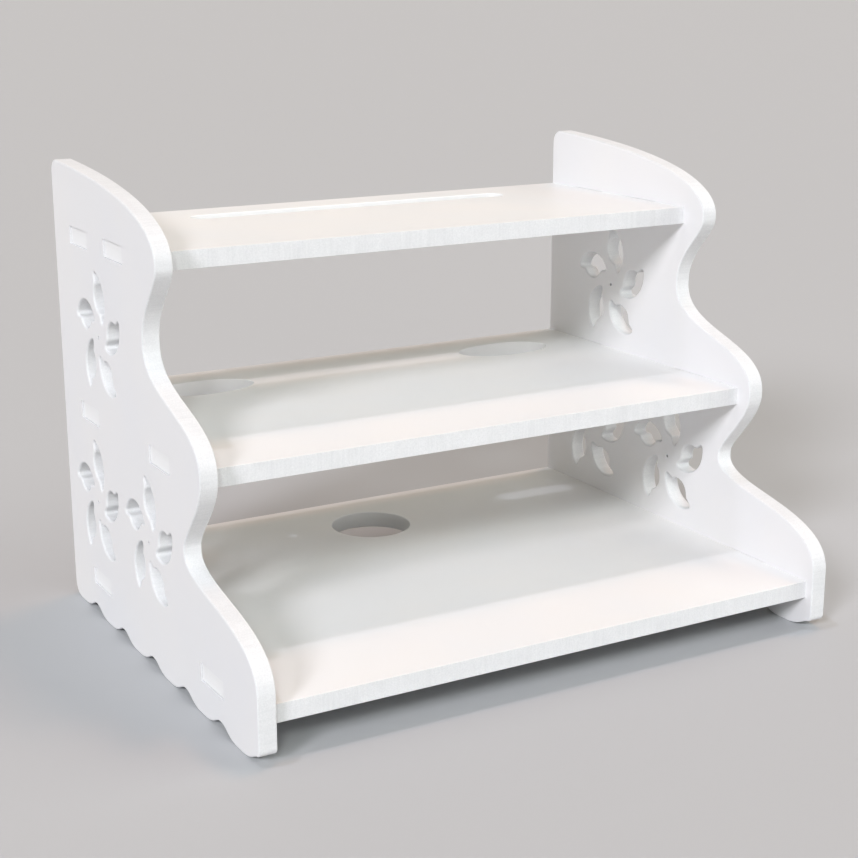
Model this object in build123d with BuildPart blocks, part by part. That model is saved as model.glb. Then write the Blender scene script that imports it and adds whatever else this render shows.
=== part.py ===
from build123d import *
import math
import os

# Three-tier stepped rack of rigid white foam board. Two side panels carry three
# shelves, which are held by tenons that pass into slots in the panels.
#
# Frame: millimetres, X across the rack, +Y towards its back, +Z up. The origin is
# on the floor under the middle of the rack. A panel's outline is given by its
# reach, the distance forward from the straight back edge, and by its height.

# ---- driving dimensions ----
WIDTH = 360.0  # over the outer faces of the two side panels
BOARD = 10.0  # every piece is cut from the same sheet
PANEL_DEPTH = 276.0
EASED_EDGE = 0.8  # sanded round on the outline of the side panels
SHELF_EDGE = 0.2  # the shelves' long edges stay nearly sharp
BROKEN_EDGE = 0.4  # light chamfer around the openings in the shelves
FLOWER_RIM = 1.3  # rounding around the petals, on both faces of a panel
CUTTER_RADIUS = 1.6  # smallest inside corner the router leaves

# Front edge of a side panel from the top down, as the places where it stands
# upright: reach, height, and how strongly it holds upright above and below there.
FRONT_EDGE = [
    (163.4, 227.4, 26.6, 10.0),  # belly of the top tier
    (139.8, 184.3, 19.3, 30.4),  # waist under it
    (213.2, 128.3, 31.9, 16.4),  # belly of the middle tier
    (187.3, 84.4, 9.0, 21.5),  # waist under it
    (PANEL_DEPTH, 34.7, 38.1, 0.0),  # foot
]
UPRIGHT_FLAT = 1.0  # half the length of the straight bit at each of these places
BACK_HEIGHT = 268.0  # height of the crown where it meets the back edge
CROWN_SLOPE = (88.8, 264.3)  # the crown leaves the back edge towards this point
TOP_CORNER = 8.0
REAR_CORNER = 9.0
TOE_CORNER = 3.5

# Scalloped lower edge, which stands on one short flat in each lobe.
LOBES = 6
REAR_LOBE = 15.0  # reach of the middle of the rearmost lobe
SCALLOP_HEIGHT = 5.3
LOBE_FLAT = 8.0
CREST_SHARE = 0.35  # part of each rise that the crest's own arc takes

# Flower cut-outs: (reach, height) of their centres, and one petal measured from
# the flower's centre, u towards the back and v up.
FLOWERS = [(69.5, 174.3), (53.0, 73.2), (135.5, 73.2)]
RIGHT_FLOWER_SHIFT = (1.3, -1.8)  # the right panel's flowers sit a little off the left one's
PETALS = 5
PETAL_ROOT = (5.4, 8.4)
PETAL_TIP = (36.5, 7.4)
PETAL_NOTCH = (29.3, 6.8)
PETAL_NECK = (12.4, 7.6)
PETAL_BACK_RISE = 10.3  # how far the petal's round back stands off root and tip
PETAL_LOBE_DROP = 5.2  # how far its lobe hangs below notch and neck
PETAL_WAIST_RADIUS = 2.5  # at notch and neck, where the board bulges into the petal
FLOWER_EYE = 2.0  # diameter of the small hole in the middle

# Tenons and their slots.
TENON = 29.5  # length along the shelf's end
TENON_RECESS = 1.2  # tenon ends stop this far inside the panel's outer face
SLOT_PLAY = 0.15  # gap on each side of a tenon

# Openings near the back of each shelf.
TOP_SLOT = (215.0, 15.0)
TOP_SLOT_REACH = 33.5
OVAL = (64.0, 34.0)
OVAL_SPACING = 213.0
OVAL_REACH = 39.2
CABLE_HOLE = 50.0
CABLE_HOLE_REACH = 51.0

# ---- worked out ----
BACK = PANEL_DEPTH / 2
SPAN = WIDTH - 2 * BOARD  # clear width between the panels
TENON_REACH = BOARD - TENON_RECESS

# name: height of the top face, depth, reach of each tenon's middle
SHELVES = {
    "top_shelf": (232.0, 144.5, (42.8, 99.8)),
    "middle_shelf": (130.2, 202.2, (47.2, 156.6)),
    "bottom_shelf": (29.0, 270.5, (52.4, 218.9)),
}

os.makedirs("parts", exist_ok=True)


def at(reach, height):
    """Point of a panel's outline in the sketch plane, whose x is the rack's Y."""
    return (BACK - reach, height)


def front_edge():
    """Crown and front edge, down to the top of the toe."""
    reach, height, above, below = FRONT_EDGE[0]
    Bezier(
        at(0, BACK_HEIGHT),
        at(*CROWN_SLOPE),
        at(reach, height + above),
        at(reach, height + UPRIGHT_FLAT),
    )
    for next_reach, next_height, next_above, next_below in FRONT_EDGE[1:]:
        Line(at(reach, height + UPRIGHT_FLAT), at(reach, height - UPRIGHT_FLAT))
        Bezier(
            at(reach, height - UPRIGHT_FLAT),
            at(reach, height - below),
            at(next_reach, next_height + next_above),
            at(next_reach, next_height + UPRIGHT_FLAT),
        )
        reach, height, below = next_reach, next_height, next_below
    Line(at(reach, height + UPRIGHT_FLAT), at(reach, SCALLOP_HEIGHT))


def scalloped_edge():
    """Lower edge from the toe to the back: round crests between flat-bottomed lobes."""
    pitch = (PANEL_DEPTH - REAR_LOBE) / (LOBES - 0.5)
    rise_run = (pitch - LOBE_FLAT) / 2
    turn = 2 * math.atan(SCALLOP_HEIGHT / rise_run)
    radius_sum = rise_run / math.sin(turn)
    lobe_radius = (1 - CREST_SHARE) * radius_sum
    join_run = LOBE_FLAT / 2 + lobe_radius * math.sin(turn)
    join_height = lobe_radius * (1 - math.cos(turn))
    middles = [REAR_LOBE + pitch * step for step in range(LOBES)]
    middles.reverse()
    TangentArc(at(PANEL_DEPTH, SCALLOP_HEIGHT), at(middles[0] + join_run, join_height), tangent=(1, 0))
    for middle in middles:
        front_of_flat = at(middle + LOBE_FLAT / 2, 0)
        rear_of_flat = at(middle - LOBE_FLAT / 2, 0)
        TangentArc(front_of_flat, at(middle + join_run, join_height), tangent=(-1, 0))
        Line(front_of_flat, rear_of_flat)
        if middle == REAR_LOBE:
            break
        rear_join = at(middle - join_run, join_height)
        next_join = at(middle - pitch + join_run, join_height)
        TangentArc(rear_of_flat, rear_join, tangent=(1, 0))
        ThreePointArc(rear_join, at(middle - pitch / 2, SCALLOP_HEIGHT), next_join)
    run_out = REAR_LOBE - LOBE_FLAT / 2
    end_height = lobe_radius - math.sqrt(lobe_radius**2 - run_out**2)
    TangentArc(at(run_out, 0), at(0, end_height), tangent=(1, 0))
    return end_height


with BuildSketch() as petal:
    with BuildLine():
        back_middle = (
            (PETAL_ROOT[0] + PETAL_TIP[0]) / 2,
            (PETAL_ROOT[1] + PETAL_TIP[1]) / 2 + PETAL_BACK_RISE,
        )
        lobe_middle = (
            (PETAL_NOTCH[0] + PETAL_NECK[0]) / 2,
            (PETAL_NOTCH[1] + PETAL_NECK[1]) / 2 - PETAL_LOBE_DROP,
        )
        ThreePointArc(PETAL_ROOT, back_middle, PETAL_TIP)
        Line(PETAL_TIP, PETAL_NOTCH)
        ThreePointArc(PETAL_NOTCH, lobe_middle, PETAL_NECK)
        Line(PETAL_NECK, PETAL_ROOT)
    make_face()
    for corner, radius in (
        (PETAL_ROOT, CUTTER_RADIUS),
        (PETAL_TIP, CUTTER_RADIUS),
        (PETAL_NOTCH, PETAL_WAIST_RADIUS),
        (PETAL_NECK, PETAL_WAIST_RADIUS),
    ):
        fillet(petal.vertices().sort_by_distance(corner)[0], radius=radius)


def build_side_panel(low_x, flower_shift, label):
    """One side panel: stepped outline, six tenon slots and three pinwheel flowers."""
    flowers = [at(reach + flower_shift[0], height + flower_shift[1]) for reach, height in FLOWERS]
    with BuildPart() as panel:
        with BuildSketch(Plane.YZ.offset(low_x)) as face:
            with BuildLine():
                end_height = scalloped_edge()
                Line(at(0, end_height), at(0, BACK_HEIGHT))
                front_edge()
            make_face()
            for corner, radius in (
                (at(0, BACK_HEIGHT), TOP_CORNER),
                (at(0, end_height), REAR_CORNER),
                (at(PANEL_DEPTH, SCALLOP_HEIGHT), TOE_CORNER),
            ):
                fillet(face.vertices().sort_by_distance(corner)[0], radius=radius)
        extrude(amount=BOARD)
        sides = panel.faces().filter_by(Axis.X)
        fillet(sides.edges(), radius=EASED_EDGE)

        with BuildSketch(Plane.YZ.offset(low_x)):
            with Locations(*flowers):
                with PolarLocations(0, PETALS):
                    add(petal.sketch)
        extrude(amount=BOARD, mode=Mode.SUBTRACT)
        rims = [wire.edges() for side in panel.faces().filter_by(Axis.X) for wire in side.inner_wires()]
        fillet(sum(rims, ShapeList()), radius=FLOWER_RIM)

        with BuildSketch(Plane.YZ.offset(low_x)):
            with Locations(*flowers):
                Circle(FLOWER_EYE / 2)
            for top, _, tenon_reaches in SHELVES.values():
                with Locations(*[at(reach, top - BOARD / 2) for reach in tenon_reaches]):
                    Rectangle(TENON + 2 * SLOT_PLAY, BOARD + 2 * SLOT_PLAY)
        extrude(amount=BOARD, mode=Mode.SUBTRACT)
    panel.part.label = label
    return panel


def build_shelf(name, opening):
    """One shelf with two tenons at each end and the opening that its tier needs."""
    top, depth, tenon_reaches = SHELVES[name]
    with BuildPart() as shelf:
        with BuildSketch(Plane.XY.offset(top - BOARD)):
            with Locations((0, BACK - depth / 2)):
                Rectangle(SPAN, depth)
        extrude(amount=BOARD)
        long_edges = shelf.edges().filter_by(Axis.X)
        fillet(long_edges, radius=SHELF_EDGE)

        with BuildSketch(Plane.XY.offset(top - BOARD)):
            opening()
        extrude(amount=BOARD, mode=Mode.SUBTRACT)
        rims = [wire.edges() for side in shelf.faces().filter_by(Axis.Z) for wire in side.inner_wires()]
        chamfer(sum(rims, ShapeList()), length=BROKEN_EDGE)

        with BuildSketch(Plane.XY.offset(top - BOARD)):
            with Locations(*[(0, BACK - reach) for reach in tenon_reaches]):
                with GridLocations(SPAN + TENON_REACH, 1, 2, 1):
                    Rectangle(TENON_REACH, TENON)
        extrude(amount=BOARD)
    shelf.part.label = name
    return shelf


def long_slot():
    """Cable slot along the back of the top shelf."""
    with Locations((0, BACK - TOP_SLOT_REACH)):
        SlotOverall(*TOP_SLOT)


def two_ovals():
    """Pair of oval cable openings in the middle shelf."""
    with Locations((0, BACK - OVAL_REACH)):
        with GridLocations(OVAL_SPACING, 1, 2, 1):
            Ellipse(OVAL[0] / 2, OVAL[1] / 2)


def round_hole():
    """Round cable hole in the bottom shelf."""
    with Locations((0, BACK - CABLE_HOLE_REACH)):
        Circle(CABLE_HOLE / 2)


pieces = [
    build_side_panel(-WIDTH / 2, (0, 0), "left_side_panel"),
    build_side_panel(WIDTH / 2 - BOARD, RIGHT_FLOWER_SHIFT, "right_side_panel"),
    build_shelf("top_shelf", long_slot),
    build_shelf("middle_shelf", two_ovals),
    build_shelf("bottom_shelf", round_hole),
]
for piece in pieces:
    export_step(piece.part, f"parts/{piece.part.label}.step")
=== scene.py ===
import math

import bpy
from mathutils import Euler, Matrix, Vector

# Looks for the tiered organizer rack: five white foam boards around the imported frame.
# Metres, X across the rack, +Y towards its back, +Z up, origin on the floor under it.

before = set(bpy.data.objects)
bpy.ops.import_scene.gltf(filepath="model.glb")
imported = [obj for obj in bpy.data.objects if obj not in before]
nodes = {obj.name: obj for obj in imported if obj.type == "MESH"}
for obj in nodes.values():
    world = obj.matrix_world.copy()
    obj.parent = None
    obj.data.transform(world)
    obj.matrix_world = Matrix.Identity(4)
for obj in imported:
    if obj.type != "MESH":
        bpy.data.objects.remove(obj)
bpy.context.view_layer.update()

PANELS = ("left_side_panel", "right_side_panel")
SHELVES = ("top_shelf", "middle_shelf", "bottom_shelf")

# ---- camera: three-quarter view from the front left, slightly above the rack ----
CAMERA_PLACE = (-0.4717, -0.8145, 0.3700)
CAMERA_YAW = 0.5194  # from +Y towards +X
CAMERA_PITCH = 0.2666  # below the horizon
CAMERA_ROLL = 0.002
SENSOR = 36.0
FOCAL_LENGTH = 69.87
NEAREST = 0.01  # things nearer to the camera than this are not drawn


def add_camera():
    data = bpy.data.cameras.new("camera")
    data.sensor_width = SENSOR
    data.lens = FOCAL_LENGTH
    data.clip_start = NEAREST
    camera = bpy.data.objects.new("camera", data)
    camera.location = CAMERA_PLACE
    camera.rotation_euler = Euler((math.pi / 2 - CAMERA_PITCH, CAMERA_ROLL, -CAMERA_YAW))
    bpy.context.scene.collection.objects.link(camera)
    bpy.context.scene.camera = camera


# ---- node helpers ----
def add_node(tree, kind, **settings):
    """New node; settings that name an input socket fill it, the others are properties."""
    node = tree.nodes.new(kind)
    for name, value in settings.items():
        label = name.replace("_", " ").title()
        if label in node.inputs:
            node.inputs[label].default_value = value
        else:
            setattr(node, name, value)
    return node


def noise(tree, vector, grain):
    """Noise over the board, from 0 to 1; grain is its grains per metre, detail and roughness."""
    scale, detail, roughness = grain
    texture = add_node(tree, "ShaderNodeTexNoise", scale=scale, detail=detail, roughness=roughness)
    tree.links.new(vector, texture.inputs["Vector"])
    return texture.outputs["Fac"]


def spread(tree, value, old, new=(0.0, 1.0)):
    """The value, moved from one range to another and kept inside the new one."""
    mapped = add_node(tree, "ShaderNodeMapRange", from_min=old[0], from_max=old[1])
    mapped.inputs["To Min"].default_value = new[0]
    mapped.inputs["To Max"].default_value = new[1]
    tree.links.new(value, mapped.inputs["Value"])
    return mapped.outputs["Result"]


def without_sign(tree, value):
    node = add_node(tree, "ShaderNodeMath", operation="ABSOLUTE")
    tree.links.new(value, node.inputs[0])
    return node.outputs[0]


def blend_values(tree, share, low, high):
    """low where share is 0 and high where it is 1; share is fixed or from a socket."""
    mix = add_node(tree, "ShaderNodeMix", data_type="FLOAT")
    if isinstance(share, float):
        mix.inputs[0].default_value = share
    else:
        tree.links.new(share, mix.inputs[0])
    tree.links.new(low, mix.inputs[2])
    tree.links.new(high, mix.inputs[3])
    return mix.outputs[0]


def blend_colours(tree, share, low, high):
    """Colours low and high, fixed or from a socket, mixed by share."""
    mix = add_node(tree, "ShaderNodeMix", data_type="RGBA")
    tree.links.new(share, mix.inputs[0])
    for socket, colour in ((mix.inputs[6], low), (mix.inputs[7], high)):
        if isinstance(colour, tuple):
            socket.default_value = (*colour, 1.0)
        else:
            tree.links.new(colour, socket)
    return mix.outputs[2]


def bump(tree, height, distance, strength):
    node = add_node(tree, "ShaderNodeBump", distance=distance, strength=strength)
    tree.links.new(height, node.inputs["Height"])
    return node.outputs["Normal"]


# ---- foam board ----
SHELF_SKIN = ((0.792, 0.798, 0.806), (0.812, 0.802, 0.792))  # varies between cool and warm
# Uprights: the same board as the shelves, drawn darker and cooler as painted shade for their
# upright faces; varies between cool and warm
PANEL_SKIN_PAINTED_SHADE = ((0.756, 0.758, 0.776), (0.772, 0.766, 0.768))
SAWN_EDGE = ((0.630, 0.638, 0.654), (0.736, 0.742, 0.757))  # between open cells and smooth spots
MILLED_AND_PAINTED_LIGHT = (0.822, 0.825, 0.830)  # walls of the openings in the shelves: the smoother milled cut, drawn lighter still as painted light on walls that lie in the shade of the shelf above
TENON_END = (0.800, 0.803, 0.808)
OPENINGS_FROM = 0.03  # along Y; the shelves' cut faces further back are mostly their openings
OPENINGS_FULLY_FROM = 0.04
BOARD_IOR = 1.46

# Where a face counts as skin or as a shelf's end, by its normal along that axis.
SKIN_FACING = (0.80, 0.97)
END_FACING = (0.5, 0.9)

# Noise textures: grains per metre, detail, roughness.
CUTTER_MARKS = (650.0, 2.0, 0.6)
FOAM_CELLS = (1300.0, 3.0, 0.7)
EDGE_PATCHES = (75.0, 3.0, 0.55)
SKIN_MOTTLE = (14.0, 3.0, 0.5)
SKIN_PEEL = (420.0, 2.0, 0.5)
MARK_STRETCH = 0.05  # the marks run through the thickness, so they hardly change that way
CELL_SHARE = (0.50, 0.90)  # of the cells over the marks, from patch to patch
PATCH_SHARE = 0.25

# Ranges that noise values are spread from or to.
BROAD_NOISE = (0.3, 0.7)
GRAIN_COLOUR_RANGE = (0.36, 0.64)
GRAIN_GLOSS_RANGE = (0.2, 0.8)
SKIN_ROUGHNESS = (0.36, 0.46)
EDGE_ROUGHNESS = (0.80, 0.62)
PEEL_HEIGHT = (0.4, 0.6)
RELIEF = 0.00022
RELIEF_STRENGTH = 0.5


def edge_grain(tree, place, skin_axis):
    """Fine grain of the sawn edge, and the same with broad patches over it."""
    stretch = [1.0, 1.0, 1.0]
    stretch["XYZ".index(skin_axis)] = MARK_STRETCH
    marks_place = add_node(tree, "ShaderNodeMapping", scale=stretch)
    tree.links.new(place, marks_place.inputs["Vector"])
    marks = noise(tree, marks_place.outputs["Vector"], CUTTER_MARKS)
    cells = noise(tree, place, FOAM_CELLS)
    patches = noise(tree, place, EDGE_PATCHES)
    fine = blend_values(tree, spread(tree, patches, BROAD_NOISE, CELL_SHARE), marks, cells)
    return fine, blend_values(tree, PATCH_SHARE, fine, patches)


def cut_colours(tree, edge_colour, place, facing_x):
    """A shelf's cut faces: sawn edge in front, milled openings behind in a lighter tone that is
    partly painted light, tenons at the ends.
    """
    where = tree.nodes.new("ShaderNodeSeparateXYZ")
    tree.links.new(place, where.inputs["Vector"])
    # where the openings' walls get their lighter tone, partly painted light on walls in the shelf's
    # shade
    milled_and_lit = spread(tree, where.outputs["Y"], (OPENINGS_FROM, OPENINGS_FULLY_FROM))
    ends = spread(tree, without_sign(tree, facing_x), END_FACING)
    edge_colour = blend_colours(tree, milled_and_lit, edge_colour, MILLED_AND_PAINTED_LIGHT)
    return blend_colours(tree, ends, edge_colour, TENON_END)


def foam_board(name, skin_axis, skin_tones, is_shelf):
    """White foam board: satin skin across skin_axis, grained cut edge around it."""
    material = bpy.data.materials.new(name)
    material.use_nodes = True
    tree = material.node_tree
    tree.nodes.clear()
    coordinates = tree.nodes.new("ShaderNodeTexCoord")
    place = coordinates.outputs["Object"]
    shader = add_node(tree, "ShaderNodeBsdfPrincipled")
    output = tree.nodes.new("ShaderNodeOutputMaterial")
    tree.links.new(shader.outputs["BSDF"], output.inputs["Surface"])

    # 1 on the skin, 0 on the cut edge, with the change inside the rounded corner
    facing = tree.nodes.new("ShaderNodeSeparateXYZ")
    tree.links.new(coordinates.outputs["Normal"], facing.inputs["Vector"])
    skin = spread(tree, without_sign(tree, facing.outputs[skin_axis]), SKIN_FACING)

    fine, grain = edge_grain(tree, place, skin_axis)
    mottle = noise(tree, place, SKIN_MOTTLE)
    peel = noise(tree, place, SKIN_PEEL)

    skin_colour = blend_colours(tree, spread(tree, mottle, BROAD_NOISE), *skin_tones)
    edge_colour = blend_colours(tree, spread(tree, grain, GRAIN_COLOUR_RANGE), *SAWN_EDGE)
    if is_shelf:
        edge_colour = cut_colours(tree, edge_colour, place, facing.outputs["X"])
    tree.links.new(blend_colours(tree, skin, edge_colour, skin_colour), shader.inputs["Base Color"])

    skin_roughness = spread(tree, mottle, BROAD_NOISE, SKIN_ROUGHNESS)
    edge_roughness = spread(tree, grain, GRAIN_GLOSS_RANGE, EDGE_ROUGHNESS)
    roughness = blend_values(tree, skin, edge_roughness, skin_roughness)
    tree.links.new(roughness, shader.inputs["Roughness"])

    skin_height = spread(tree, peel, (0.0, 1.0), PEEL_HEIGHT)
    relief = bump(tree, blend_values(tree, skin, fine, skin_height), RELIEF, RELIEF_STRENGTH)
    tree.links.new(relief, shader.inputs["Normal"])
    shader.inputs["IOR"].default_value = BOARD_IOR
    return material


def dress(node_names, material):
    for name in node_names:
        mesh = nodes[name].data
        mesh.materials.clear()
        mesh.materials.append(material)


# ---- studio ----
FLOOR_SIZE = 90.0
FLOOR_COLOUR = (0.450, 0.460, 0.475, 1.0)
FLOOR_ROUGHNESS = 0.7
BACK_GLOW = (0.49, 0.465, 0.40)  # warm, dim room behind the rack
FRONT_GLOW = (0.02, 0.02, 0.02)
HORIZON = (0.68, 0.67, 0.66)  # where the floor ends, so that its edge hardly shows
FRONT_TO_BACK = (-0.3, 0.3)  # along Y of the unit sphere, from the front's glow to the back's
HORIZON_FADE = (0.02, 0.08)  # along Z of the unit sphere

# name: azimuth from the front towards the left, elevation, angular size, strength, colour
LAMPS = {
    "key": (104.0, 75.0, 2.0, 0.52, (0.82, 0.86, 1.0)),
    "warm": (-109.0, 71.0, 12.0, 0.54, (1.0, 0.57, 0.36)),
    "front": (12.0, 9.0, 20.0, 0.43, (1.0, 0.97, 0.86)),
    "low": (32.0, 34.0, 9.0, 0.98, (0.94, 1.0, 0.98)),
    "main": (57.0, 30.0, 14.0, 2.00, (0.95, 0.94, 1.0)),
    "right": (-62.0, 25.0, 50.0, 1.68, (0.98, 1.0, 0.96)),
}


def add_floor():
    bpy.ops.mesh.primitive_plane_add(size=FLOOR_SIZE)
    floor = bpy.context.object
    floor.name = "floor"
    material = bpy.data.materials.new("floor")
    material.use_nodes = True
    shader = material.node_tree.nodes["Principled BSDF"]
    shader.inputs["Base Color"].default_value = FLOOR_COLOUR
    shader.inputs["Roughness"].default_value = FLOOR_ROUGHNESS
    floor.data.materials.append(material)


def add_lamp(name, azimuth, elevation, angular_size, strength, colour):
    """Soft light from far away, so that it falls evenly on the rack and the floor."""
    data = bpy.data.lights.new(name, "SUN")
    data.energy = strength
    data.color = colour
    data.angle = math.radians(angular_size)
    light = bpy.data.objects.new(name, data)
    turn, rise = math.radians(azimuth), math.radians(elevation)
    level = math.cos(rise)
    towards = Vector((-math.sin(turn) * level, -math.cos(turn) * level, math.sin(rise)))
    light.rotation_euler = towards.to_track_quat("Z", "Y").to_euler()
    bpy.context.scene.collection.objects.link(light)


def add_room():
    """Plain surroundings: dark in front of the rack, warmer and brighter behind it."""
    world = bpy.data.worlds.new("studio")
    world.use_nodes = True
    tree = world.node_tree
    place = tree.nodes.new("ShaderNodeTexCoord")
    side = tree.nodes.new("ShaderNodeSeparateXYZ")
    tree.links.new(place.outputs["Generated"], side.inputs["Vector"])
    behind = spread(tree, side.outputs["Y"], FRONT_TO_BACK)
    glow = blend_colours(tree, behind, FRONT_GLOW, BACK_GLOW)
    near_horizon = spread(tree, side.outputs["Z"], HORIZON_FADE, (1.0, 0.0))
    room = blend_colours(tree, near_horizon, glow, HORIZON)
    tree.links.new(room, tree.nodes["Background"].inputs["Color"])
    bpy.context.scene.world = world


def add_studio():
    add_floor()
    for name, lamp in LAMPS.items():
        add_lamp(name, *lamp)
    add_room()
    bpy.context.scene.view_settings.view_transform = "Standard"


dress(PANELS, foam_board("foam_board_upright", "X", PANEL_SKIN_PAINTED_SHADE, is_shelf=False))
dress(SHELVES, foam_board("foam_board_level", "Z", SHELF_SKIN, is_shelf=True))
add_studio()
add_camera()
